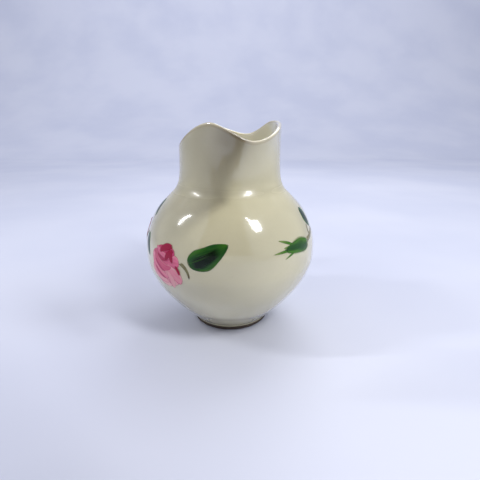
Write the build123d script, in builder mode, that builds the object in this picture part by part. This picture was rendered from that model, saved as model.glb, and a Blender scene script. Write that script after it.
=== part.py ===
from build123d import *
from math import cos, radians, sin
import os

# A small cream jug in glazed porcelain: a round belly on a bare foot ring, a waisted neck with a
# waved rim that dips into a pouring lip, one ear-shaped handle, and two sprays of roses in enamel.
# Millimetres, +Z up. The origin is on the belly's axis, in the plane that the foot stands on.
# The lip points along -Y and the handle along +Y. Bearings are degrees from -Y towards +X.

# Walls
belly_wall = 3.0
neck_wall = 2.6
enamel = 0.2

# Foot ring
foot_outer_radius = 18.5
foot_wall = 3.0
foot_height = 3.0
foot_edge = 0.5

# Belly, outside, from the foot up to the crease under the neck
base_radius, base_z = 29.0, 13.0
low_radius, low_z = 36.2, 22.5
widest_radius, widest_z = 40.8, 38.0
shoulder_radius, shoulder_z = 37.6, 52.5
crease_radius, crease_z = 24.6, 68.0
foot_flare = (1.0, 0.75)
crease_slope = (-0.62, 1.0)

# Neck, outside, with heights above the crease
waist_radius, waist_height = 23.6, 9.0
mouth_radius = 23.5
neck_steps = [4.0, 15.0, 20.0, 25.0]

# Pouring lip: how far it stands out, where it starts, and how narrow it is low down and at the rim
lip_reach = 5.6
lip_start_height, lip_full_height = 2.0, 22.0
lip_low_power, lip_high_power = 26.0, 12.0
lip_most_rise = 1.2

# The waved rim: bearing and height above the crease of each crest and dip, going round from the lip
rim_wave = [
    (0.0, 20.8),
    (40.0, 26.4),
    (95.0, 29.2),
    (136.0, 23.2),
    (186.0, 27.2),
    (250.0, 18.2),
    (320.0, 27.9),
]
rim_round = 0.8
rim_trim = 5.0

# Handle, in the YZ plane: heights above the crease, distances out from the belly
handle_start_height = 11.0
handle_crown_height, handle_crown_reach = 17.0, 4.2
handle_bow_height, handle_bow_reach = 3.0, 23.2
handle_foot_station = 0.632
handle_bite = 2.8
handle_start_slope = (0.0, 1.0, 0.55)
handle_end_slope = (0.0, -1.0, -0.35)
handle_width = 9.0
handle_thickness = 6.0
handle_stations = [0.0, 0.3, 0.7, 1.0]
handle_swells = [1.3, 1.0, 1.0, 1.3]

# Enamel sprays. A bloom is its bearing, height and radius.
blooms = [(-63.0, 38.0, 9.2), (-112.0, 46.0, 8.4), (90.0, 42.0, 9.0)]
petal_count = 5
petal_share, petal_spread = 0.5, 0.5
bloom_middle_share = 0.6
heart_share, heart_lift = 0.42, 0.3
bud_slimness = 0.45
leaf_shoulder = 0.38
leaf_tip_slope = 0.35
# A bud is its bearing, height, radius and the lean of its tip.
buds = [(28.0, 45.4, 7.6, 180.0), (-144.0, 39.0, 5.0, 180.0), (131.0, 35.5, 5.0, -10.0)]
# A leaf is its bearing, height, lean from level, length and width.
leaves = [
    (-33.0, 45.0, 22.0, 18.5, 9.6),
    (-95.5, 59.0, -53.0, 8.5, 3.6),
    (-86.0, 44.0, -62.0, 11.0, 5.0),
    (-135.0, 53.0, 30.0, 12.0, 5.6),
    (56.0, 54.6, -76.0, 9.6, 5.2),
    (116.0, 48.5, 28.0, 14.0, 7.0),
    (101.0, 58.5, 60.0, 8.0, 3.8),
]
# A stem runs from one bearing and height to another, with its bow to one side.
stems = [
    ((-49.5, 41.5), (-44.0, 35.5), 0.4),
    ((-97.0, 44.5), (-92.5, 49.0), 0.4),
    ((-136.0, 40.5), (-125.5, 44.5), 1.0),
    ((40.5, 47.0), (53.5, 48.6), 1.2),
    ((104.0, 40.5), (122.5, 37.0), 1.2),
    ((95.0, 52.2), (98.0, 54.0), 0.2),
]
stem_width = 1.3
sepal_leans = [-22.0, 0.0, 19.0]
sepal_length, sepal_width = 7.2, 1.4
sepal_gap = 0.4
outline_clearance = 5.0

os.makedirs("parts", exist_ok=True)


def around(bearing, radius, z):
    """The point at a bearing, a distance from the axis and a height."""
    return Vector(radius * sin(radians(bearing)), -radius * cos(radians(bearing)), z)


def finish(part, name):
    """Label a finished piece and write it to its own file."""
    part.label = name
    export_step(part, f"parts/{name}.step")


# --- Belly ---------------------------------------------------------------------------------
with BuildLine() as belly_outside:
    belly_curve = Spline(
        (foot_outer_radius, foot_height),
        (base_radius, base_z),
        (low_radius, low_z),
        (widest_radius, widest_z),
        (shoulder_radius, shoulder_z),
        (crease_radius, crease_z),
        tangents=(foot_flare, crease_slope),
    )


def beside_belly(fraction, distance):
    """A radius and height beside the belly's outer curve, outwards when the distance is positive."""
    point = belly_curve @ fraction
    along = (belly_curve % fraction).normalized()
    return (point.X + along.Y * distance, point.Y - along.X * distance)


wall_stations = [0.12, 0.3, 0.5, 0.7, 0.86]
inner_floor_radius = foot_outer_radius - belly_wall
inner_floor_z = foot_height + belly_wall
inner_crease = (crease_radius - neck_wall, crease_z)

with BuildPart() as belly_block:
    with BuildSketch(Plane.XZ):
        with BuildLine():
            add(belly_curve)
            Polyline(belly_curve @ 1, (0, crease_z), (0, foot_height), belly_curve @ 0)
        make_face()
    revolve(axis=Axis.Z)

with BuildPart() as belly_hollow:
    with BuildSketch(Plane.XZ):
        with BuildLine():
            Spline(
                (inner_floor_radius, inner_floor_z),
                *[beside_belly(station, -belly_wall) for station in wall_stations],
                inner_crease,
                tangents=((1.0, 0.0), crease_slope),
            )
            Polyline(inner_crease, (0, crease_z), (0, inner_floor_z), (inner_floor_radius, inner_floor_z))
        make_face()
    revolve(axis=Axis.Z)

with BuildPart() as belly:
    add(belly_block.part)
    add(belly_hollow.part, mode=Mode.SUBTRACT)
finish(belly.part, "belly")

# --- Foot ring, left bare of glaze ---------------------------------------------------------
with BuildPart() as foot_ring:
    with BuildSketch():
        Circle(foot_outer_radius)
        Circle(foot_outer_radius - foot_wall, mode=Mode.SUBTRACT)
    extrude(amount=foot_height)
    fillet(foot_ring.edges().group_by(Axis.Z)[0], foot_edge)
finish(foot_ring.part, "foot_ring")

# --- Neck and pouring lip ------------------------------------------------------------------
neck_block_height = max(height for _, height in rim_wave) + rim_trim
neck_levels = sorted([0.0, waist_height, *neck_steps, neck_block_height])
ring_points = 32


def neck_radius(height):
    """The round neck's outer radius, eased from the crease to the waist and on to the mouth."""
    if height < waist_height:
        share = 1 - height / waist_height
        return waist_radius + (crease_radius - waist_radius) * share**2
    share = (height - waist_height) / (neck_block_height - waist_height)
    return waist_radius + (mouth_radius - waist_radius) * share


def neck_ring(height, inset):
    """Points round the neck at one height above the crease, with the lip pushed out at the front."""
    rise = (height - lip_start_height) / (lip_full_height - lip_start_height)
    rise = min(max(rise, 0.0), lip_most_rise)
    power = lip_low_power + (lip_high_power - lip_low_power) * min(rise, 1.0)
    points = []
    for step in range(ring_points):
        bearing = 360.0 * step / ring_points
        front = ((1 + cos(radians(bearing))) / 2) ** power
        push = lip_reach * rise**2 * front
        points.append(around(bearing, neck_radius(height) - inset + push, crease_z + height))
    return points


def neck_solid(inset):
    """The neck as a solid block, its surface inset from the outside."""
    with BuildPart() as block:
        for height in neck_levels:
            with BuildSketch(Plane.XY.offset(crease_z + height)):
                with BuildLine():
                    Spline(*[(p.X, p.Y) for p in neck_ring(height, inset)], periodic=True)
                make_face()
        loft()
    return block.part


def rim_curve(radius):
    """The rim's wave as a closed curve at one distance from the axis."""
    with BuildLine() as curve:
        points = [around(bearing, radius, crease_z + height) for bearing, height in rim_wave]
        Spline(*points, periodic=True)
    return curve.edge()


wave_face = Face.make_surface_from_curves(rim_curve(mouth_radius / 2), rim_curve(mouth_radius * 2))
with BuildPart() as above_rim:
    extrude(wave_face, amount=crease_z + neck_block_height, dir=(0, 0, 1))

neck_block = neck_solid(0.0)
with BuildPart() as neck_and_spout:
    add(neck_block)
    add(neck_solid(neck_wall), mode=Mode.SUBTRACT)
    add(above_rim.part, mode=Mode.SUBTRACT)
    rim_edges = neck_and_spout.edges().filter_by(
        lambda edge: edge.center().Z > crease_z + waist_height
    )
    fillet(rim_edges, rim_round)
finish(neck_and_spout.part, "neck_and_spout")

# --- Handle --------------------------------------------------------------------------------
handle_foot = beside_belly(handle_foot_station, -handle_bite)

with BuildPart() as handle:
    with BuildLine() as handle_line:
        Spline(
            (0, waist_radius - neck_wall, crease_z + handle_start_height),
            (0, widest_radius + handle_crown_reach, crease_z + handle_crown_height),
            (0, widest_radius + handle_bow_reach, crease_z + handle_bow_height),
            (0, *handle_foot),
            tangents=(handle_start_slope, handle_end_slope),
        )
    for fraction, swell in zip(handle_stations, handle_swells):
        with BuildSketch(handle_line.line ^ fraction):
            Ellipse(handle_thickness / 2 * swell, handle_width / 2 * swell)
    sweep(multisection=True)
    add(neck_block, mode=Mode.SUBTRACT)
    add(belly_block.part, mode=Mode.SUBTRACT)
finish(handle.part, "handle")

# --- Enamel: each shape is the stretch of a thin skin that its outline covers ---------------------
with BuildPart() as skin:
    thicken(belly.faces().sort_by(SortBy.AREA)[-1], amount=enamel)


def facing(bearing, z, lean=0.0):
    """A plane outside the belly that faces out along a bearing, its X axis leaning up from level."""
    level = Vector(cos(radians(bearing)), sin(radians(bearing)), 0) * cos(radians(lean))
    upright = Vector(0, 0, 1) * sin(radians(lean))
    start = around(bearing, widest_radius + outline_clearance, z)
    return Plane(start, x_dir=level + upright, z_dir=around(bearing, 1, 0))


def heart_outline(radius):
    """The round heart of a bloom, flat, a little above the bloom's middle."""
    with BuildSketch() as outline:
        with Locations((0, radius * heart_lift)):
            Circle(radius * heart_share)
    return outline.sketch


def petals_outline(radius):
    """The rounded petals of a bloom, flat, round the space that its heart fills."""
    with BuildSketch() as outline:
        Circle(radius * bloom_middle_share)
        with PolarLocations(radius * petal_spread, petal_count, start_angle=90):
            Circle(radius * petal_share)
        add(heart_outline(radius), mode=Mode.SUBTRACT)
    return outline.sketch


def leaf_outline(length, width):
    """A leaf, flat, with a round base on the left and a point on the right."""
    with BuildSketch() as outline:
        with BuildLine():
            for side in (1, -1):
                Spline(
                    (0, 0),
                    (length * leaf_shoulder, side * width / 2),
                    (length, 0),
                    tangents=((0, side), (1, -side * leaf_tip_slope)),
                )
        make_face()
    return outline.sketch


def bud_outline(radius):
    """A closed bud, flat, longer than it is high."""
    with BuildSketch() as outline:
        Ellipse(radius, radius * bud_slimness)
    return outline.sketch


def stem_outline(across, rise, bow):
    """A stem, flat, as an even stroke along an arc."""
    with BuildSketch() as outline:
        with BuildLine() as stroke:
            ThreePointArc((-across / 2, -rise / 2), (0, bow), (across / 2, rise / 2))
        trace(stroke.line, stem_width)
    return outline.sketch


def enamel_shape(outline, plane, shift=0.0):
    """The stretch of skin under a flat outline, shifted along the plane's X axis."""
    with BuildPart() as shape:
        add(skin.part)
        with BuildSketch(plane):
            with Locations((shift, 0)):
                add(outline)
        extrude(amount=-widest_radius / 2, mode=Mode.INTERSECT)
    return shape.part


with BuildPart() as rose_hearts:
    for bearing, z, radius in blooms:
        add(enamel_shape(heart_outline(radius), facing(bearing, z)))
finish(rose_hearts.part, "rose_hearts")

with BuildPart() as rose_petals:
    for bearing, z, radius in blooms:
        add(enamel_shape(petals_outline(radius), facing(bearing, z)))
finish(rose_petals.part, "rose_petals")

with BuildPart() as rose_leaves:
    for bearing, z, lean, length, width in leaves:
        add(enamel_shape(leaf_outline(length, width), facing(bearing, z, lean), -length / 2))
finish(rose_leaves.part, "rose_leaves")

with BuildPart() as rosebuds:
    for bearing, z, radius, tip in buds:
        add(enamel_shape(bud_outline(radius), facing(bearing, z, tip)))
finish(rosebuds.part, "rosebuds")

with BuildPart() as bud_sepals:
    for bearing, z, radius, tip in buds:
        for lean in sepal_leans:
            sepal = leaf_outline(sepal_length, sepal_width)
            add(enamel_shape(sepal, facing(bearing, z, tip + lean), radius + sepal_gap))
finish(bud_sepals.part, "bud_sepals")

with BuildPart() as rose_stems:
    for (start, start_z), (end, end_z), bow in stems:
        across = 2 * widest_radius * sin(radians((end - start) / 2))
        plane = facing((start + end) / 2, (start_z + end_z) / 2)
        add(enamel_shape(stem_outline(across, end_z - start_z, bow), plane))
finish(rose_stems.part, "rose_stems")
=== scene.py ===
import math

import bmesh
import bpy
from mathutils import Matrix, Vector
from mathutils.bvhtree import BVHTree
from mathutils.geometry import interpolate_bezier


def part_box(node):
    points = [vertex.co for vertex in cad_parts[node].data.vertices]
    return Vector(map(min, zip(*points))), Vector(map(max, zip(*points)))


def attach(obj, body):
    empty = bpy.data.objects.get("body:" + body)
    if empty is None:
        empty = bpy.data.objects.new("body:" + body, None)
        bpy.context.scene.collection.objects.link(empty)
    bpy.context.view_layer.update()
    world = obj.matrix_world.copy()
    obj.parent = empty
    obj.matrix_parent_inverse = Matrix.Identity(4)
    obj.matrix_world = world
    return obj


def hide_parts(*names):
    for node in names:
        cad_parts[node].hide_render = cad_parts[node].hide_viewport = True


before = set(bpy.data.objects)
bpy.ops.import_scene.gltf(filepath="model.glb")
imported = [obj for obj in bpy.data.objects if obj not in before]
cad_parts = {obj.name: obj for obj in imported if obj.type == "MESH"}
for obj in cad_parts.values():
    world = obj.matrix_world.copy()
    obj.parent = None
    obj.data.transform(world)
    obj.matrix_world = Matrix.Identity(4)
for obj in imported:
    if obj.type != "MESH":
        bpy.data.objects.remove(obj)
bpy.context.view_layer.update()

bl_info = {
    "name": "Porcelain Cream Jug",
    "version": (1, 0, 0),
    "blender": (4, 5, 0),
    "location": "View3D > Sidebar > Jug",
    "description": "Throws, glazes and paints a small cream jug with a waved rim and rose sprays",
    "category": "Object",
}

MM = 0.001
BODY = "root"

# Outside of the belly and neck, as radius and height in millimetres, from the foot to the rim
BELLY_OUTSIDE = [
    (18.62, 2.2), (18.8, 2.8), (19.8, 3.7), (23.6, 7.7), (29.0, 13.0), (36.1, 22.5),
    (40.1, 31.5), (40.8, 38.0), (40.2, 45.0), (37.6, 52.5), (33.8, 58.7), (29.2, 63.4),
    (26.4, 66.1), (24.95, 68.5), (24.15, 71.2), (23.8, 75.0), (23.6, 79.5), (23.5, 85.0),
]
# Inside, from the rim down to the middle of the floor
BELLY_INSIDE = [
    (21.6, 85.0), (21.2, 78.0), (21.5, 71.0), (22.4, 67.0), (26.4, 62.4), (31.4, 56.6),
    (35.0, 50.0), (37.5, 42.0), (37.3, 34.0), (33.8, 24.5), (26.8, 14.5), (19.5, 8.2),
    (10.0, 6.2), (0.0, 6.0),
]
# Underside, from the middle out to where the foot ring hides it
BELLY_UNDER = [(0.0, 3.6), (9.0, 3.5), (15.0, 3.3), (17.4, 3.0), (18.2, 1.6)]
WIDEST_RADIUS = 40.8
CREASE_Z = 68.0

# The rim before it is waved: its height, outer radius, marked depth and the steps of its round
RIM_Z = 92.0
RIM_OUTER_RADIUS = 23.45
RIM_DEPTH = 1.6
RIM_STEPS = 8

# Bearing and height of each crest and dip of the rim, going round from the lip
RIM_WAVE = [(0, 88.8), (40, 94.4), (95, 97.2), (136, 91.2), (186, 95.2), (250, 86.2), (320, 95.9)]
LIP_REACH = 5.6
LIP_START_Z, LIP_FULL_Z = 70.0, 90.0
LIP_LOW_POWER, LIP_HIGH_POWER = 26.0, 12.0

# The bare ring's inner radius, its gap inside the glaze and how far it runs up into the body
FOOT_INNER_RADIUS = 15.5
FOOT_GAP = 0.1
FOOT_TUCK = 0.4

# Vertices closer than this are one, on thrown shapes and in painted strokes
WELD = 0.01
STROKE_WELD = 0.002

# Handle centre line in the plane x = 0: y, z, then half width and half thickness, all millimetres
HANDLE_LINE = [
    (22.2, 79.4, 6.6, 5.2), (27.0, 81.6, 4.9, 3.6), (35.0, 84.9, 4.2, 2.9), (45.0, 85.6, 4.2, 2.8),
    (55.5, 82.2, 4.3, 2.8), (62.3, 75.2, 4.3, 2.8), (63.6, 67.2, 4.2, 2.8), (60.0, 58.6, 4.1, 2.8),
    (52.6, 51.4, 4.2, 2.9), (44.5, 46.6, 4.9, 3.5), (38.3, 44.4, 6.6, 5.0),
]

# Painted motifs, as in the CAD model: bearings in degrees, the rest in millimetres
BLOOMS = [(-63.0, 38.0, 9.2, 0.0), (-112.0, 46.0, 8.4, 62.0), (90.0, 42.0, 9.0, -25.0)]
BUDS = [(28.0, 45.4, 7.6, 180.0), (-144.0, 39.0, 5.0, 180.0), (131.0, 35.5, 5.0, -10.0)]
LEAVES = [
    (-33.0, 45.0, 22.0, 18.5, 9.6),
    (-95.5, 59.0, -53.0, 8.5, 3.6),
    (-86.0, 44.0, -62.0, 11.0, 5.0),
    (-135.0, 53.0, 30.0, 12.0, 5.6),
    (49.5, 54.8, -76.0, 9.2, 6.4),
    (116.0, 48.5, 28.0, 14.0, 7.0),
    (101.0, 58.5, 60.0, 8.0, 3.8),
]
# A stem runs from one bearing and height to another, with its bow and its width at each end
STEMS = [
    ((-50.5, 41.2), (-44.4, 34.8), 1.1, 1.9, 0.9),
    ((-97.0, 44.5), (-92.5, 49.0), 0.4, 0.8, 0.8),
    ((-136.0, 40.5), (-125.5, 44.5), 1.0, 0.9, 0.9),
    ((38.5, 46.6), (54.0, 49.8), -0.6, 2.4, 1.5),
    ((45.0, 48.0), (45.4, 52.6), 0.8, 1.5, 0.8),
    ((104.0, 40.5), (122.5, 37.0), 1.2, 0.9, 0.9),
    ((95.0, 52.2), (98.0, 54.0), 0.2, 0.8, 0.8),
]
# The strokes of a rose whose radius is 1: base right and up, turn, length, width, fullness
# towards the tip, bend, and tone from deep 0 to pale 1. Later strokes lie over earlier ones.
PETALS = [
    (-0.62, -0.20, 18.0, 1.34, 1.62, 0.05, 0.00, 0.55),
    (-0.50, 0.42, 5.0, 1.10, 1.06, 0.05, 0.00, 0.25),
    (-0.10, 0.15, -135.0, 1.10, 1.00, 0.20, 0.00, 0.80),
    (0.00, 0.05, -98.0, 1.10, 1.05, 0.22, 0.00, 0.95),
    (-0.10, 0.30, 180.0, 0.92, 0.86, 0.10, 0.00, 0.55),
    (0.20, 0.30, 2.0, 0.72, 0.66, 0.10, 0.00, 0.35),
    (0.10, 0.10, -56.0, 1.08, 1.00, 0.22, 0.00, 0.75),
    (0.18, -0.10, -32.0, 0.98, 0.62, 0.12, 0.06, 0.60),
    (0.02, 0.24, 93.0, 0.76, 1.30, 0.22, 0.00, 0.05),
    (-0.92, -0.02, -34.0, 1.34, 0.44, -0.10, -0.16, 0.72),
    (-0.94, 0.32, -35.0, 1.46, 0.44, -0.06, -0.18, 0.45),
    (-0.80, 0.64, -26.0, 1.42, 0.48, 0.00, -0.22, 0.20),
    (-0.64, 0.86, -20.0, 1.10, 0.28, 0.00, -0.10, 0.40),
    (0.16, -0.16, -74.0, 0.90, 0.36, 0.10, 0.12, 0.74),
]
HEARTS = [
    (-0.36, 0.64, 22.0, 0.92, 0.36, 0.10, 0.10, 0.0),
    (0.06, 0.32, 46.0, 0.70, 0.30, 0.05, 0.08, 0.0),
    (-0.52, 0.52, -22.0, 0.62, 0.20, 0.00, -0.05, 0.4),
    (0.52, 0.26, 98.0, 0.50, 0.22, 0.00, 0.10, 0.1),
    (-0.74, 0.24, -33.0, 0.90, 0.13, 0.00, -0.08, 0.7),
    (-0.72, -0.10, -33.0, 0.90, 0.12, 0.00, -0.08, 0.8),
    (0.70, 0.16, -60.0, 0.46, 0.17, 0.00, 0.06, 0.0),
]
# The spikes at a bud's tip: lean, start beyond the middle, length and width
SEPALS = [
    (-21.0, 0.60, 8.4, 1.35), (2.0, 0.80, 9.4, 1.30), (19.0, 0.60, 6.2, 1.0), (-7.0, 0.66, 5.2, 1.5),
]

# Strokes are pressed inwards from this distance off the axis, and their backs lie this many
# enamel heights under their faces. Each stroke of a rose lies this many layers over the last.
STROKE_START = 50.0
STROKE_DEPTH = 2.2
ROSE_LAYER = 0.5


# --- Sizes and colours that a user may change ------------------------------------------------


class JugSizes(bpy.types.PropertyGroup):
    """Sizes of the jug's glazed pieces."""

    around: bpy.props.IntProperty(
        name="Steps Around", description="Faces round the body before smoothing",
        default=120, min=24,
    )
    rim_thickness: bpy.props.FloatProperty(
        name="Rim Thickness", description="Wall at the rim", default=2.1 * MM, unit="LENGTH"
    )
    enamel_height: bpy.props.FloatProperty(
        name="Enamel Height", description="How far the paint stands on the glaze",
        default=0.14 * MM, unit="LENGTH",
    )
    foot_round: bpy.props.FloatProperty(
        name="Foot Rounding", description="Rounding of the foot ring",
        default=0.7 * MM, unit="LENGTH",
    )


class JugColours(bpy.types.PropertyGroup):
    """Base colours of the glaze, the bare foot and the enamels."""

    glaze: bpy.props.FloatVectorProperty(
        name="Glaze", description="Cream glaze", subtype="COLOR", default=(0.575, 0.535, 0.355)
    )
    # Painted shade: the bare foot is given a near-black colour, as it sits in shadow.
    foot: bpy.props.FloatVectorProperty(
        name="Bare Foot", description="Fired body without glaze",
        subtype="COLOR", default=(0.060, 0.042, 0.030),
    )
    petal: bpy.props.FloatVectorProperty(
        name="Petal", description="Pale pink enamel", subtype="COLOR", default=(0.73, 0.175, 0.285)
    )
    heart: bpy.props.FloatVectorProperty(
        name="Heart", description="Deep rose enamel", subtype="COLOR", default=(0.36, 0.004, 0.045)
    )
    leaf: bpy.props.FloatVectorProperty(
        name="Leaf", description="Dark leaf green", subtype="COLOR", default=(0.004, 0.030, 0.006)
    )
    leaf_edge: bpy.props.FloatVectorProperty(
        name="Leaf Edge", description="Light leaf green",
        subtype="COLOR", default=(0.045, 0.155, 0.013),
    )
    stem: bpy.props.FloatVectorProperty(
        name="Stem", description="Olive brown line", subtype="COLOR", default=(0.19, 0.175, 0.085)
    )


# --- Shader maths ------------------------------------------------------------------------------


class Value:
    """A number that changes over a surface, with Python's operators adding Math nodes."""

    def __init__(self, paint, socket):
        self.paint = paint
        self.socket = socket

    def maths(self, operation, *values):
        node = self.paint.node("ShaderNodeMath", {"operation": operation}, dict(enumerate(values)))
        return Value(self.paint, node.outputs[0])

    def __add__(self, other):
        return self.maths("ADD", self, other)

    def __radd__(self, other):
        return self.maths("ADD", other, self)

    def __sub__(self, other):
        return self.maths("SUBTRACT", self, other)

    def __rsub__(self, other):
        return self.maths("SUBTRACT", other, self)

    def __mul__(self, other):
        return self.maths("MULTIPLY", self, other)

    def __rmul__(self, other):
        return self.maths("MULTIPLY", other, self)

    def __truediv__(self, other):
        return self.maths("DIVIDE", self, other)

    def __rtruediv__(self, other):
        return self.maths("DIVIDE", other, self)

    def __abs__(self):
        return self.maths("ABSOLUTE", self)

    def largest(self, other):
        return self.maths("MAXIMUM", self, other)

    def step(self, low, high):
        """0 below low, 1 above high, smooth between."""
        node = self.paint.node(
            "ShaderNodeMapRange", {"interpolation_type": "SMOOTHSTEP"},
            {0: self, 1: low, 2: high, 3: 0.0, 4: 1.0},
        )
        return Value(self.paint, node.outputs[0])


class Paint:
    """One material and the short calls that build its nodes."""

    def __init__(self, name):
        self.material = bpy.data.materials.new(name)
        self.material.use_nodes = True
        self.tree = self.material.node_tree
        self.tree.nodes.clear()
        self.surface = self.node("ShaderNodeBsdfPrincipled", {}, {})
        self.node("ShaderNodeOutputMaterial", {}, {"Surface": self.surface.outputs[0]})

    def node(self, kind, settings, values):
        """A node of one type, its settings put in first and then its values or links."""
        made = self.tree.nodes.new(kind)
        for key, setting in settings.items():
            setattr(made, key, setting)
        for key, value in values.items():
            self.feed(made.inputs[key], value)
        return made

    def feed(self, socket, value):
        if isinstance(value, Value):
            self.tree.links.new(value.socket, socket)
        elif isinstance(value, bpy.types.NodeSocket):
            self.tree.links.new(value, socket)
        else:
            socket.default_value = value

    def set(self, **values):
        """Sockets of the surface shader, spaces in their names written as underscores."""
        for key, value in values.items():
            self.feed(self.surface.inputs[key.replace("_", " ")], value)

    def place(self):
        return self.node("ShaderNodeTexCoord", {}, {}).outputs["Object"]

    def stretched(self, vector, scale):
        return self.node("ShaderNodeMapping", {}, {"Vector": vector, "Scale": scale}).outputs[0]

    def uv(self):
        return self.node("ShaderNodeTexCoord", {}, {}).outputs["UV"]

    def split(self, vector):
        node = self.node("ShaderNodeSeparateXYZ", {}, {0: vector})
        return [Value(self, socket) for socket in node.outputs]

    def noise(self, vector, scale, detail=3.0, roughness=0.5):
        node = self.node(
            "ShaderNodeTexNoise", {},
            {"Vector": vector, "Scale": scale, "Detail": detail, "Roughness": roughness},
        )
        return Value(self, node.outputs[0])

    def attribute(self, name):
        node = self.node("ShaderNodeAttribute", {"attribute_name": name}, {})
        return Value(self, node.outputs["Fac"])

    def mix(self, share, first, second):
        """A colour between two, by a share."""
        colours = [c if isinstance(c, bpy.types.NodeSocket) else (*c, 1.0) for c in (first, second)]
        node = self.node(
            "ShaderNodeMix", {"data_type": "RGBA"}, {0: share, 6: colours[0], 7: colours[1]}
        )
        return node.outputs[2]

    def bump(self, height, strength, distance):
        node = self.node(
            "ShaderNodeBump", {}, {"Height": height, "Strength": strength, "Distance": distance}
        )
        return node.outputs[0]


def shade(colour, amount):
    """A colour made darker or lighter by a factor."""
    return tuple(min(1.0, part * amount) for part in colour)


def glaze_material(colours):
    """Glossy cream glaze, mottled, with iron specks, duller at the crease; painted shade at the crease,
    near the foot and under the rim, a painted highlight on the rim and painted light inside.
    """
    paint = Paint("cream_glaze")
    place = paint.place()
    height = paint.split(place)[2]
    cloud = paint.noise(place, 28.0, 4.0)
    grain = paint.noise(place, 900.0, 2.0)
    edge, inside = paint.attribute("rim_edge"), paint.attribute("inside")
    darker, lighter = shade(colours.glaze, 0.955), shade(colours.glaze, 1.03)
    colour = paint.mix(cloud.step(0.35, 0.7), darker, lighter)
    colour = paint.mix(grain.step(0.45, 0.75) * 0.25, colour, shade(colours.glaze, 0.92))
    # Painted shade: the glaze is darkened in a thin band along the crease.
    crease_shade = 1 - (abs(height - CREASE_Z * MM) / (2.2 * MM)).step(0.0, 1.0)
    colour = paint.mix(crease_shade * 0.35, colour, shade(colours.glaze, 0.78))
    dull = 1 - (abs(height - (CREASE_Z - 0.5) * MM) / (10.0 * MM)).step(0.0, 1.0)
    # Painted shade: the glaze darkens towards the foot.
    shade_near_foot = 1 - (height / (9.0 * MM)).step(0.35, 1.0)
    colour = paint.mix(shade_near_foot * 0.5, colour, shade(colours.glaze, 0.62))
    # Painted highlight: the glaze is paler along the rim's edge.
    colour = paint.mix(edge * 0.55, colour, (0.70, 0.64, 0.47))
    # Painted light: the inside of the jug is painted paler than the outside.
    colour = paint.mix(inside * 0.85, colour, (0.74, 0.71, 0.56))
    # Painted shadow: a brown band just under the rim's edge on the outside.
    rim_shadow_band = edge.step(0.02, 0.25) * (1 - edge.step(0.45, 0.8)) * (1 - inside)
    colour = paint.mix(rim_shadow_band * (cloud + 0.2) * 0.7, colour, (0.36, 0.28, 0.15))
    cells = paint.node("ShaderNodeTexVoronoi", {}, {"Vector": place, "Scale": 150.0})
    chosen = paint.node("ShaderNodeSeparateColor", {}, {0: cells.outputs["Color"]})
    size = Value(paint, chosen.outputs[0]).step(0.93, 1.0) * 0.05
    speck = 1 - (Value(paint, cells.outputs["Distance"]) / (size + 0.0001)).step(0.55, 1.0)
    colour = paint.mix(speck * 0.8, colour, (0.20, 0.12, 0.07))
    ripple = paint.noise(place, 55.0, 2.0) + paint.noise(place, 260.0, 1.0) * 0.12 - speck * 0.2
    paint.set(
        Base_Color=colour, Roughness=0.10 + cloud * 0.08 + dull * 0.14,
        Coat_Weight=0.95 - dull * 0.68, Coat_Roughness=0.015, Coat_IOR=1.6, IOR=1.5,
        Subsurface_Weight=0.06, Subsurface_Radius=(0.004, 0.0032, 0.002), Subsurface_Scale=0.5,
        Normal=paint.bump(ripple, 0.35, 0.10 * MM),
    )
    return paint.material


def foot_material(colours):
    """Bare fired body, dry and grainy, with painted shade: dark overall and darker still where it rests.
    """
    paint = Paint("bare_foot")
    place = paint.place()
    height = paint.split(place)[2]
    grain = paint.noise(place, 1400.0, 5.0, 0.7)
    cloud = paint.noise(place, 120.0, 3.0)
    colour = paint.mix(cloud.step(0.3, 0.75), shade(colours.foot, 0.8), shade(colours.foot, 1.2))
    colour = paint.mix(grain.step(0.5, 0.8) * 0.4, colour, shade(colours.foot, 0.55))
    # Painted shadow: the foot darkens further towards where it rests on the floor.
    contact_shade = 1 - (height / (1.2 * MM)).step(0.0, 1.0)
    colour = paint.mix(contact_shade * 0.5, colour, (0.03, 0.02, 0.014))
    paint.set(
        Base_Color=colour, Roughness=0.78 + grain * 0.15, Normal=paint.bump(grain, 0.6, 0.08 * MM)
    )
    return paint.material


class Enamel(Paint):
    """Painted enamel: the stroke's own directions, its brush marks and its soft edge."""

    def __init__(self, name, bristle=(2.0, 14.0, 1.0)):
        super().__init__(name)
        self.along, self.across, _ = self.split(self.uv())
        self.side = self.across * 2 - 1
        self.tone = self.attribute("tone")
        offset = self.node("ShaderNodeCombineXYZ", {}, {2: self.tone * 7.3}).outputs[0]
        moved = self.node("ShaderNodeVectorMath", {"operation": "ADD"}, {0: self.uv(), 1: offset})
        self.brush = self.noise(self.stretched(moved.outputs[0], bristle), 1.0, 4.0, 0.6)

    def finish(self, colour, softness):
        """Gloss, brush marks in the surface, and edges that thin out in streaks."""
        edge = abs(self.side).largest(abs(self.along * 2 - 1))
        thin = (edge + (self.brush - 0.5) * 0.4).step(1 - softness, 1.06)
        self.set(
            Base_Color=colour, Roughness=0.16 + self.brush * 0.12,
            Coat_Weight=0.10 + self.brush * 0.1, Coat_Roughness=0.02, Specular_IOR_Level=0.22,
            Alpha=1 - thin, Normal=self.bump(self.brush, 0.35, 0.04 * MM),
        )
        return self.material


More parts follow.
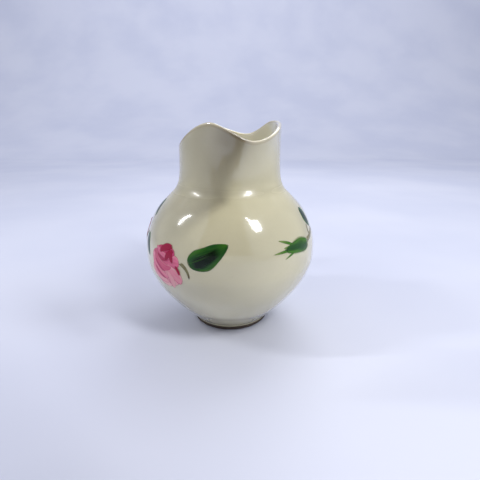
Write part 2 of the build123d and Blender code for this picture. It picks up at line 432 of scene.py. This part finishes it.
def leaf_material(colours):
    """A painted leaf: near-black under the vein, light along its upper and lower edges."""
    paint = Enamel("leaf_enamel", (2.5, 16.0, 1.0))
    side, along, brush = paint.side, paint.along, paint.brush
    middle = (0.020, 0.080, 0.012)
    colour = paint.mix((brush + 0.1).step(0.35, 0.8), shade(colours.leaf, 2.0), middle)
    shadow = 1 - (abs(side + 0.26 - along * 0.35) + (brush - 0.5) * 0.7).step(0.26, 0.72)
    shadow = shadow * along.step(0.04, 0.2) * (1 - along.step(0.62, 0.86))
    colour = paint.mix(shadow, colour, shade(colours.leaf, 0.25))
    lit = (side + (brush - 0.5) * 0.5).step(0.45, 0.95) * (1 - along.step(0.25, 0.75))
    colour = paint.mix(lit * 0.6, colour, shade(colours.leaf_edge, 1.1))
    lower = (0 - side + (brush - 0.5) * 0.4).step(0.62, 0.92)
    rim = lower * along.step(0.08, 0.3) * (1 - along.step(0.6, 0.8))
    colour = paint.mix(rim * 0.6, colour, colours.leaf_edge)
    vein = 1 - (abs(side - 0.02 - along * 0.2) / 0.10).step(0.2, 1.0)
    vein = vein * (1 - along.step(0.2, 0.65))
    colour = paint.mix(vein * 0.35, colour, shade(colours.leaf_edge, 0.9))
    tip = along.step(0.7, 0.98) * (side + brush).step(0.2, 1.0)
    colour = paint.mix(tip * 0.7, colour, colours.leaf_edge)
    return paint.finish(colour, 0.10)


def petal_material(colours):
    """A painted petal: deep or pale by its place in the rose, in streaks that run to its edge."""
    paint = Enamel("petal_enamel", (1.4, 7.0, 1.0))
    deep, pale = (0.50, 0.03, 0.11), (0.78, 0.43, 0.41)
    brushed = paint.tone + (paint.brush - 0.5) * 0.7 + paint.along * 0.1
    colour = paint.mix(brushed.step(0.0, 0.55), deep, colours.petal)
    colour = paint.mix(brushed.step(0.45, 1.0), colour, pale)
    lower = (0 - paint.side + (paint.brush - 0.5) * 0.4).step(0.45, 0.85)
    colour = paint.mix(lower * 0.75, colour, (0.55, 0.07, 0.18))
    upper = (paint.side + (paint.brush - 0.5) * 0.4).step(0.35, 0.8)
    colour = paint.mix(upper * paint.tone * 0.7, colour, pale)
    return paint.finish(colour, 0.12)


def heart_material(colours):
    """The deep crimson strokes at the heart of a rose, thinner ones pinker."""
    paint = Enamel("heart_enamel", (1.5, 6.0, 1.0))
    pinker = (paint.tone + (paint.brush - 0.5) * 0.6).step(0.0, 1.0)
    colour = paint.mix(pinker, colours.heart, (0.50, 0.05, 0.15))
    colour = paint.mix(paint.brush.step(0.5, 0.8) * 0.4, colour, shade(colours.heart, 0.6))
    return paint.finish(colour, 0.20)


def bud_material(colours):
    """A green bud: dark along a slanting core, light at its ends and edges."""
    paint = Enamel("bud_enamel", (2.0, 12.0, 1.0))
    side, along, brush = paint.side, paint.along, paint.brush
    darker, lighter = shade(colours.leaf_edge, 0.45), shade(colours.leaf_edge, 1.3)
    colour = paint.mix((brush + 0.1).step(0.3, 0.8), darker, lighter)
    core = 1 - (abs(side - 0.5 + along) + (brush - 0.5) * 0.8).step(0.2, 0.75)
    colour = paint.mix(core * (1 - paint.tone) * 0.85, colour, shade(colours.leaf, 1.8))
    pale = (abs(side) + (brush - 0.5) * 0.8).step(0.6, 1.0) * (1 - paint.tone)
    colour = paint.mix(pale * 0.55, colour, (0.15, 0.27, 0.06))
    tips = paint.tone * (along + (brush - 0.5) * 0.4).step(0.3, 1.0)
    colour = paint.mix(tips * 0.8, colour, (0.24, 0.32, 0.10))
    return paint.finish(colour, 0.30)


def stem_material(colours):
    """A thin olive line, darker where the brush was lifted."""
    paint = Enamel("stem_enamel", (4.0, 3.0, 1.0))
    darker, lighter = shade(colours.stem, 0.75), shade(colours.stem, 1.2)
    colour = paint.mix((paint.brush + 0.1).step(0.3, 0.8), darker, lighter)
    ends = (paint.along + (paint.brush - 0.5) * 0.3).step(0.6, 0.95)
    colour = paint.mix(ends * 0.85, colour, (0.07, 0.045, 0.02))
    return paint.finish(colour, 0.25)


# --- Shape helpers -----------------------------------------------------------------------------


def around(bearing, radius, z):
    """The point at a bearing from the lip, a distance from the axis and a height."""
    turn = math.radians(bearing)
    return Vector((radius * math.sin(turn), -radius * math.cos(turn), z))


def smooth_line(points, steps):
    """A smooth curve through a few points, as many points close together."""
    knots = [Vector(point) for point in points]
    knots_out = [knots[0] * 2 - knots[1], *knots, knots[-1] * 2 - knots[-2]]
    line = [knots[0]]
    for before, start, end, after in zip(knots_out, knots_out[1:], knots_out[2:], knots_out[3:]):
        first = start + (end - before) / 6
        second = end - (after - start) / 6
        line += interpolate_bezier(start, first, second, end, steps + 1)[1:]
    return line


def smoothstep(value):
    """0 below 0, 1 above 1, smooth between."""
    value = min(max(value, 0.0), 1.0)
    return value * value * (3 - 2 * value)


def rim_height(bearing):
    """Height of the rim's crest line at a bearing, on a smooth closed wave."""
    bearing %= 360.0
    count = len(RIM_WAVE)
    spread = [
        (RIM_WAVE[i % count][0] + 360 * (i // count), RIM_WAVE[i % count][1])
        for i in range(-2, count + 3)
    ]
    for k in range(1, len(spread) - 2):
        (b0, h0), (b1, h1), (b2, h2), (b3, h3) = spread[k - 1:k + 3]
        if b1 <= bearing <= b2:
            share = (bearing - b1) / (b2 - b1)
            slope_1 = (h2 - h0) / (b2 - b0) * (b2 - b1)
            slope_2 = (h3 - h1) / (b3 - b1) * (b2 - b1)
            square, cube = share**2, share**3
            return (
                h1 * (2 * cube - 3 * square + 1) + slope_1 * (cube - 2 * square + share)
                + h2 * (3 * square - 2 * cube) + slope_2 * (cube - square)
            )
    raise RuntimeError("the rim's wave does not close")


def lip_push(bearing, z):
    """How far the pouring lip stands out at a bearing and height, in millimetres."""
    rise = min(max((z - LIP_START_Z) / (LIP_FULL_Z - LIP_START_Z), 0.0), 1.2)
    power = LIP_LOW_POWER + (LIP_HIGH_POWER - LIP_LOW_POWER) * min(rise, 1.0)
    front = ((1 + math.cos(math.radians(bearing))) / 2) ** power
    return LIP_REACH * rise**2 * front


def new_piece(name, bm, material, replaced):
    """A finished mesh as an object that rides on the jug and stands for its CAD nodes."""
    mesh = bpy.data.meshes.new(name)
    bm.to_mesh(mesh)
    bm.free()
    mesh.shade_smooth()
    piece = bpy.data.objects.new(name, mesh)
    bpy.context.collection.objects.link(piece)
    mesh.materials.append(material)
    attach(piece, BODY)
    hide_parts(*replaced)
    return piece


def subdivide(piece, levels):
    """Smoothing subdivision, the same for the view and the render."""
    modifier = piece.modifiers.new("smooth", "SUBSURF")
    modifier.levels = levels
    modifier.render_levels = levels


def glazed_surface():
    """The body's outer surface, to lay paint on."""
    body = bpy.data.objects.get("glazed_body")
    if body is None:
        raise RuntimeError("throw the body before painting it")
    return BVHTree.FromObject(body, bpy.context.evaluated_depsgraph_get())


class Brush:
    """Lays strokes on the glaze: each is a small grid shaped in a plane and pressed inwards."""

    def __init__(self):
        self.bm = bmesh.new()
        self.bm.loops.layers.uv.new("stroke")
        self.tone = self.bm.verts.layers.float.new("tone")
        self.glaze = glazed_surface()
        self.height = bpy.context.scene.jug_sizes.enamel_height

    def stroke(self, place, outline, tone=0.0, layer=0, steps=(24, 8)):
        """A stroke at a bearing, height and lean; outline(share, side) gives its millimetres."""
        bearing, z, lean = place
        turn, tilt = math.radians(bearing), math.radians(lean)
        level = Vector((math.cos(turn), math.sin(turn), 0.0))
        outward = around(bearing, 1.0, 0.0)
        x_axis = level * math.cos(tilt) + Vector((0, 0, math.sin(tilt)))
        y_axis = outward.cross(x_axis)
        start = around(bearing, STROKE_START, z)
        grid = bmesh.ops.create_grid(
            self.bm, x_segments=steps[0], y_segments=steps[1], size=1.0, calc_uvs=True
        )
        for vert in grid["verts"]:
            share, side = (vert.co.x + 1) / 2, vert.co.y
            x, y = outline(share, side)
            origin = (start + x_axis * x + y_axis * y) * MM
            hit, normal, _, _ = self.glaze.ray_cast(origin, -outward)
            if hit is None:
                raise RuntimeError("a stroke misses the glaze")
            brow = max((1 - side**6) * (1 - (2 * share - 1) ** 8), 0.0) ** 0.5
            vert.co = hit + normal * self.height * (0.15 + 0.5 * brow + 0.12 * layer)
            vert[self.tone] = tone

    def finish(self, name, material, slot, replaced):
        """Closes every stroke into a thin body whose back lies just under the glaze."""
        bmesh.ops.remove_doubles(self.bm, verts=self.bm.verts, dist=STROKE_WELD * MM)
        bmesh.ops.recalc_face_normals(self.bm, faces=self.bm.faces)
        for face in self.bm.faces:
            middle = face.calc_center_median()
            if face.normal.dot(Vector((middle.x, middle.y, 0.0))) < 0:
                face.normal_flip()
        bmesh.ops.solidify(self.bm, geom=self.bm.faces[:], thickness=self.height * STROKE_DEPTH)
        return new_piece(name, self.bm, material, replaced)


def leaf_shape(length, width, sway=0.16):
    """A leaf from its round base at the left to its point at the right, which turns up a little."""

    def outline(share, side):
        full = max(math.sin(math.pi * share**0.72), 0.0) ** 0.7
        middle = sway * share**2.5 - 0.05 * math.sin(math.pi * share)
        lobe = 1 + 0.05 * math.sin(3.2 * math.pi * share) * side
        return length * (share - 0.5), width * (side / 2 * full * lobe + middle)

    return outline


def round_shape(length, width, fullness, bend=0.0):
    """A rounded petal or bud that is fullest towards its far end, its middle line bent."""

    def outline(share, side):
        full = math.sqrt(max(4 * share * (1 - share), 0.0)) * (1 - fullness + 2 * fullness * share)
        return length * share, side * width / 2 * full + bend * length * 4 * share * (1 - share)

    return outline


def stem_shape(reach, rise, bow, first_width, last_width):
    """A bowed line with a width at each end."""
    run = Vector((reach, rise))
    across = Vector((-rise, reach)).normalized()

    def outline(share, side):
        width = first_width + (last_width - first_width) * share
        point = run * (share - 0.5) + across * (bow * 4 * share * (1 - share) + side * width / 2)
        return point.x, point.y

    return outline


def shifted(outline, x, y, turn=0.0):
    """The same outline turned and moved in its plane."""
    swing = math.radians(turn)

    def moved(share, side):
        u, v = outline(share, side)
        right = u * math.cos(swing) - v * math.sin(swing)
        up = u * math.sin(swing) + v * math.cos(swing)
        return x + right, y + up

    return moved


# --- Pieces --------------------------------------------------------------------------------------


class JUG_OT_body(bpy.types.Operator):
    """Throw the belly and neck as one glazed wall, wave its rim and pull out the lip"""

    bl_idname = "jug.body"
    bl_label = "Glazed Body"

    def execute(self, context):
        sizes = context.scene.jug_sizes
        half_rim = sizes.rim_thickness / MM / 2
        outer_top = (RIM_OUTER_RADIUS, RIM_Z - half_rim)
        inner_top = (RIM_OUTER_RADIUS - 2 * half_rim, RIM_Z - half_rim)
        outside = smooth_line([(r, 0.0, z) for r, z in [*BELLY_OUTSIDE, outer_top]], 6)
        inside = smooth_line([(r, 0.0, z) for r, z in [inner_top, *BELLY_INSIDE]], 5)
        middle = (outer_top[0] + inner_top[0]) / 2
        turns = [math.pi * k / RIM_STEPS for k in range(1, RIM_STEPS)]
        rim = [
            Vector((middle + half_rim * math.cos(turn), 0, outer_top[1] + half_rim * math.sin(turn)))
            for turn in turns
        ]
        under = smooth_line([(r, 0.0, z) for r, z in BELLY_UNDER], 3)
        profile = [*under, *outside, *rim, *inside]
        bm = bmesh.new()
        edge_layer = bm.verts.layers.float.new("rim_edge")
        inside_layer = bm.verts.layers.float.new("inside")
        verts = [bm.verts.new(point * MM) for point in profile]
        first_inside = len(under) + len(outside) + len(rim)
        for place, vert in enumerate(verts):
            vert[inside_layer] = 1.0 if place >= first_inside else 0.0
            above = (vert.co.z / MM - (RIM_Z - RIM_DEPTH)) / RIM_DEPTH
            vert[edge_layer] = smoothstep(above)
        edges = [bm.edges.new(pair) for pair in zip(verts, verts[1:])]
        bmesh.ops.spin(
            bm, geom=[*verts, *edges], cent=(0, 0, 0), axis=(0, 0, 1), angle=2 * math.pi,
            steps=sizes.around, use_merge=True,
        )
        bmesh.ops.remove_doubles(bm, verts=bm.verts, dist=WELD * MM)
        for vert in bm.verts:
            self.shape_neck(vert)
        bmesh.ops.recalc_face_normals(bm, faces=bm.faces)
        material = glaze_material(context.scene.jug_colours)
        piece = new_piece("glazed_body", bm, material, ["belly", "neck_and_spout"])
        subdivide(piece, 1)
        return {"FINISHED"}

    def shape_neck(self, vert):
        """Raises the neck to the rim's wave and pushes the lip out."""
        z = vert.co.z / MM
        radius = math.hypot(vert.co.x, vert.co.y) / MM
        if z <= CREASE_Z:
            return
        bearing = math.degrees(math.atan2(vert.co.x, -vert.co.y))
        share = min((z - CREASE_Z) / (RIM_Z - RIM_DEPTH - CREASE_Z), 1.0)
        z += (rim_height(bearing) - RIM_Z) * (0.35 * share + 0.65 * smoothstep(share))
        vert.co = around(bearing, radius + lip_push(bearing, z), z) * MM


class JUG_OT_foot(bpy.types.Operator):
    """Turn the bare foot ring"""

    bl_idname = "jug.foot"
    bl_label = "Foot Ring"

    def execute(self, context):
        _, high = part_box("foot_ring")
        outer, inner = high.x - FOOT_GAP * MM, FOOT_INNER_RADIUS * MM
        top = high.z + FOOT_TUCK * MM
        soft = context.scene.jug_sizes.foot_round
        corners = [
            (inner - 0.3 * MM, top), (inner, soft), (inner + soft, 0.0),
            (outer - soft, 0.0), (outer, soft), (outer, top),
        ]
        bm = bmesh.new()
        verts = [bm.verts.new((radius, 0.0, z)) for radius, z in corners]
        edges = [bm.edges.new(pair) for pair in zip(verts, [*verts[1:], verts[0]])]
        bmesh.ops.spin(
            bm, geom=[*verts, *edges], cent=(0, 0, 0), axis=(0, 0, 1), angle=2 * math.pi,
            steps=96, use_merge=True,
        )
        bmesh.ops.remove_doubles(bm, verts=bm.verts, dist=WELD * MM)
        sharp = [edge for edge in bm.edges if edge.calc_face_angle(0.0) > math.radians(25)]
        bmesh.ops.bevel(
            bm, geom=sharp, offset=0.25 * MM, segments=3, profile=0.5, material=-1, affect="EDGES",
        )
        bmesh.ops.recalc_face_normals(bm, faces=bm.faces)
        material = foot_material(context.scene.jug_colours)
        new_piece("bare_foot_ring", bm, material, ["foot_ring"])
        return {"FINISHED"}


class JUG_OT_handle(bpy.types.Operator):
    """Pull the loop handle and lute its ends to the neck and belly"""

    bl_idname = "jug.handle"
    bl_label = "Handle"

    steps = 8
    end_reach = 6.0

    def execute(self, context):
        line = smooth_line([(0.0, y, z) for y, z, _, _ in HANDLE_LINE], self.steps)
        girth = smooth_line([(wide, thick, 0.0) for _, _, wide, thick in HANDLE_LINE], self.steps)
        bm = bmesh.new()
        bm.verts.layers.float.new("rim_edge")
        bm.verts.layers.float.new("inside")
        rings = []
        for place, (point, size) in enumerate(zip(line, girth)):
            ahead = (line[min(place + 1, len(line) - 1)] - line[max(place - 1, 0)]).normalized()
            for end, level in ((line[0], 1.0), (line[-1], -1.0)):
                near = smoothstep(1 - (point - end).length / self.end_reach)
                ahead = ahead.lerp(Vector((0.0, level, 0.0)), near).normalized()
            made = bmesh.ops.create_circle(bm, segments=40, radius=1.0, cap_ends=False)
            side = Vector((1, 0, 0))
            out = ahead.cross(side)
            for vert in made["verts"]:
                wide = side * (vert.co.x * size.x)
                thick = out * (vert.co.y * size.y * (1.0 + 0.10 * abs(vert.co.x)))
                vert.co = (point + wide + thick) * MM
            ring = set(made["verts"])
            rings.append([edge for edge in bm.edges if ring.issuperset(edge.verts)])
        for first, second in zip(rings, rings[1:]):
            bmesh.ops.bridge_loops(bm, edges=[*first, *second])
        for end in (rings[0], rings[-1]):
            bmesh.ops.contextual_create(bm, geom=end)
        bmesh.ops.recalc_face_normals(bm, faces=bm.faces)
        material = bpy.data.materials["cream_glaze"]
        new_piece("loop_handle", bm, material, ["handle"])
        return {"FINISHED"}


def paint_rose(brush, bloom, strokes, first_layer):
    """Lays a list of strokes for one rose, each a little higher than the one before."""
    bearing, z, radius, lean = bloom
    for layer, (right, up, turn, length, width, fullness, bend, tone) in enumerate(strokes):
        shape = round_shape(radius * length, radius * width, fullness, bend)
        outline = shifted(shape, radius * right, radius * up, turn)
        height = (first_layer + layer) * ROSE_LAYER
        brush.stroke((bearing, z, lean), outline, tone, height, (22, 14))


class JUG_OT_blooms(bpy.types.Operator):
    """Paint the roses: pale outer petals, bands folded over them and a deep heart"""

    bl_idname = "jug.blooms"
    bl_label = "Roses"

    def execute(self, context):
        colours = context.scene.jug_colours
        petals, hearts = Brush(), Brush()
        for bloom in BLOOMS:
            paint_rose(petals, bloom, PETALS, 0)
            paint_rose(hearts, bloom, HEARTS, len(PETALS))
        petals.finish("rose_petal_strokes", petal_material(colours), "enamel_pink", ["rose_petals"])
        hearts.finish("rose_heart_strokes", heart_material(colours), "enamel_rose", ["rose_hearts"])
        return {"FINISHED"}


class JUG_OT_leaves(bpy.types.Operator):
    """Paint the leaves"""

    bl_idname = "jug.leaves"
    bl_label = "Leaves"

    def execute(self, context):
        brush = Brush()
        for place, (bearing, z, lean, length, width) in enumerate(LEAVES):
            shape = leaf_shape(length, width, 0.16 if place == 0 else 0.05)
            brush.stroke((bearing, z, lean), shape, place * 0.1, 0, (44, 18))
        material = leaf_material(context.scene.jug_colours)
        brush.finish("leaf_strokes", material, "enamel_green", ["rose_leaves"])
        return {"FINISHED"}


class JUG_OT_buds(bpy.types.Operator):
    """Paint the buds and the spikes that stand out from their tips"""

    bl_idname = "jug.buds"
    bl_label = "Buds"

    def execute(self, context):
        colours = context.scene.jug_colours
        buds, sepals = Brush(), Brush()
        for bearing, z, radius, tip in BUDS:
            body = leaf_shape(radius * 2.4, radius * 0.92, 0.0)
            buds.stroke((bearing, z, tip), shifted(body, radius * 0.15, 0.0), 0.0, 1, (26, 14))
            for lean, start, length, width in SEPALS:
                reach = length * radius / BUDS[0][2]
                shape = shifted(leaf_shape(reach, width), radius * start + reach / 2, 0.0)
                sepals.stroke((bearing, z, tip + lean), shape, 1.0, 0, (22, 8))
        material = bud_material(colours)
        buds.finish("bud_strokes", material, "enamel_bud", ["rosebuds"])
        sepals.finish("sepal_strokes", material, "enamel_green", ["bud_sepals"])
        return {"FINISHED"}


class JUG_OT_stems(bpy.types.Operator):
    """Draw the olive stems"""

    bl_idname = "jug.stems"
    bl_label = "Stems"

    def execute(self, context):
        brush = Brush()
        for (start, start_z), (end, end_z), bow, first_width, last_width in STEMS:
            reach = 2 * WIDEST_RADIUS * math.sin(math.radians((end - start) / 2))
            outline = stem_shape(reach, end_z - start_z, bow, first_width, last_width)
            middle = ((start + end) / 2, (start_z + end_z) / 2, 0.0)
            brush.stroke(middle, outline, 0.2, 0, (24, 5))
        material = stem_material(context.scene.jug_colours)
        brush.finish("stem_strokes", material, "enamel_olive", ["rose_stems"])
        return {"FINISHED"}


class JUG_OT_stage(bpy.types.Operator):
    """Set the pale floor, the soft lights and the camera"""

    bl_idname = "jug.stage"
    bl_label = "Stage"

    camera_bearing = -20.0
    camera_distance, camera_height = 172.6, 93.1
    aim_right, aim_height = 4.79, 40.12
    lamp_distance, lamp_aim_height = 0.55, 0.045

    def execute(self, context):
        scene = context.scene
        scene.view_settings.view_transform = "Standard"
        self.make_floor(scene)
        self.make_cards(scene)
        self.make_world(scene)
        self.make_lights(scene)
        self.make_camera(scene)
        return {"FINISHED"}

    def seen(self, x, y, z):
        """A point given as right, away and up as the camera stands, in metres."""
        turn = Matrix.Rotation(math.radians(self.camera_bearing), 3, "Z")
        return turn @ Vector((x, y, z))

    def make_floor(self, scene):
        """A pale sheet that lies flat and then rises behind in one smooth sweep."""
        line = smooth_line(
            [(0, -3.0, 0), (0, 0.5, 0), (0, 1.1, 0.02), (0, 1.7, 0.30), (0, 2.0, 0.9), (0, 2.1, 2.6)], 12
        )
        bm = bmesh.new()
        verts = [bm.verts.new(self.seen(-3.5, point.y, max(point.z, 0.0))) for point in line]
        edges = [bm.edges.new(pair) for pair in zip(verts, verts[1:])]
        swept = bmesh.ops.extrude_edge_only(bm, edges=edges)
        moved = [item for item in swept["geom"] if isinstance(item, bmesh.types.BMVert)]
        bmesh.ops.translate(bm, vec=self.seen(7.0, 0.0, 0.0), verts=moved)
        bmesh.ops.recalc_face_normals(bm, faces=bm.faces)
        mesh = bpy.data.meshes.new("floor")
        bm.to_mesh(mesh)
        bm.free()
        mesh.shade_smooth()
        floor = bpy.data.objects.new("floor", mesh)
        paint = Paint("pale_floor")
        cloud = paint.noise(paint.place(), 5.0, 3.0)
        paint.set(
            Base_Color=paint.mix(cloud.step(0.3, 0.7), (0.54, 0.565, 0.68), (0.60, 0.62, 0.72)),
            Roughness=0.6,
        )
        mesh.materials.append(paint.material)
        scene.collection.objects.link(floor)

    def make_cards(self, scene):
        """Dark cards by the camera, seen only as the glaze reflects them and in their shade."""
        over = smooth_line(
            [(0, -0.15, 0.062), (0, -0.17, 0.16), (0, -0.15, 0.28), (0, -0.08, 0.36), (0, 0.0, 0.38)], 6
        )
        left, right = ([(x, point.y, point.z) for point in over] for x in (-0.13, 0.07))
        self.add_card(scene, "card_over", left, right)
        left = [(-0.026, -0.060, 0.066), (-0.018, -0.066, 0.120)]
        right = [(0.006, -0.034, 0.074), (0.026, -0.042, 0.120)]
        self.add_card(scene, "card_near", left, right)

    def add_card(self, scene, name, left, right):
        """A card between two edges, given as the camera stands."""
        bm = bmesh.new()
        edges = []
        for side in (left, right):
            verts = [bm.verts.new(self.seen(*point)) for point in side]
            edges += [bm.edges.new(pair) for pair in zip(verts, verts[1:])]
        bmesh.ops.bridge_loops(bm, edges=edges)
        mesh = bpy.data.meshes.new(name)
        bm.to_mesh(mesh)
        bm.free()
        card = bpy.data.objects.new(name, mesh)
        paint = Paint(name)
        cloud = paint.noise(paint.place(), 9.0, 2.0)
        colour = paint.mix(cloud, (0.07, 0.035, 0.02), (0.11, 0.06, 0.035))
        paint.set(Base_Color=colour, Roughness=0.9)
        mesh.materials.append(paint.material)
        card.visible_camera = False
        scene.collection.objects.link(card)

    def make_world(self, scene):
        """The even, faintly blue light of the room."""
        world = bpy.data.worlds.new("soft_room")
        world.use_nodes = True
        background = world.node_tree.nodes["Background"]
        background.inputs["Color"].default_value = (0.86, 0.89, 1.0, 1.0)
        background.inputs["Strength"].default_value = 0.66
        scene.world = world

    def add_light(self, scene, name, place, size, power, colour=(1.0, 1.0, 1.0)):
        """A soft oblong light that faces the jug."""
        data = bpy.data.lights.new(name, "AREA")
        data.shape = "RECTANGLE"
        data.size, data.size_y = size
        data.energy = power
        data.color = colour
        light = bpy.data.objects.new(name, data)
        light.location = place
        aim = Vector((0, 0, self.lamp_aim_height)) - place
        light.rotation_mode = "QUATERNION"
        light.rotation_quaternion = aim.to_track_quat("-Z", "Y")
        scene.collection.objects.link(light)
        return light

    def make_lights(self, scene):
        """The windows, the lamp at the left and a wash of light on the backdrop."""
        right = Vector((0.47, -0.48, 0.74)) * self.lamp_distance
        pane = Vector((0.36, -0.46, 0.80)) * self.lamp_distance
        left = Vector((-0.745, -0.06, 0.70)) * self.lamp_distance
        self.add_light(scene, "window_right", self.seen(*right), (0.085, 0.15), 1.25)
        self.add_light(scene, "window_pane", self.seen(*pane), (0.02, 0.20), 0.25)
        above = self.seen(0.0, 0.75, 1.3)
        wash = self.add_light(scene, "backdrop_wash", above, (2.4, 0.5), 13.0, (0.95, 0.96, 1.0))
        wash.rotation_quaternion = self.seen(0.0, 1.0, -0.75).to_track_quat("-Z", "Y")
        self.add_light(scene, "window_behind", self.seen(0.20, 0.42, 0.62), (0.5, 0.4), 2.2)
        self.add_light(scene, "lamp_left", self.seen(*left), (0.016, 0.17), 0.8)

    def make_camera(self, scene):
        """A wide lens close to the jug, a little above it."""
        data = bpy.data.cameras.new("camera")
        data.lens = 27.0
        data.sensor_width = 36.0
        data.clip_start = 0.005
        camera = bpy.data.objects.new("camera", data)
        camera.location = self.seen(0.0, -self.camera_distance * MM, self.camera_height * MM)
        aim = self.seen(self.aim_right * MM, 0.0, self.aim_height * MM) - camera.location
        camera.rotation_mode = "QUATERNION"
        camera.rotation_quaternion = aim.to_track_quat("-Z", "Y")
        scene.collection.objects.link(camera)
        scene.camera = camera


class JUG_PT_panel(bpy.types.Panel):
    """The jug's pieces in the order that a potter makes them"""

    bl_idname = "JUG_PT_panel"
    bl_label = "Cream Jug"
    bl_space_type = "VIEW_3D"
    bl_region_type = "UI"
    bl_category = "Jug"

    def draw(self, context):
        for name in context.scene.jug_sizes.bl_rna.properties.keys():
            if name not in ("name", "rna_type"):
                self.layout.prop(context.scene.jug_sizes, name)
        for name in context.scene.jug_colours.bl_rna.properties.keys():
            if name not in ("name", "rna_type"):
                self.layout.prop(context.scene.jug_colours, name)
        for operator in OPERATORS:
            self.layout.operator(operator.bl_idname)


OPERATORS = (
    JUG_OT_body, JUG_OT_foot, JUG_OT_handle, JUG_OT_blooms, JUG_OT_leaves, JUG_OT_buds,
    JUG_OT_stems, JUG_OT_stage,
)
CLASSES = (JugSizes, JugColours, *OPERATORS, JUG_PT_panel)


def register():
    for cls in CLASSES:
        bpy.utils.register_class(cls)
    bpy.types.Scene.jug_sizes = bpy.props.PointerProperty(type=JugSizes)
    bpy.types.Scene.jug_colours = bpy.props.PointerProperty(type=JugColours)


def unregister():
    del bpy.types.Scene.jug_colours
    del bpy.types.Scene.jug_sizes
    for cls in reversed(CLASSES):
        bpy.utils.unregister_class(cls)


def main():
    register()
    bpy.ops.jug.body()
    bpy.ops.jug.foot()
    bpy.ops.jug.handle()
    bpy.ops.jug.blooms()
    bpy.ops.jug.leaves()
    bpy.ops.jug.buds()
    bpy.ops.jug.stems()
    bpy.ops.jug.stage()


if __name__ == "__main__":
    main()
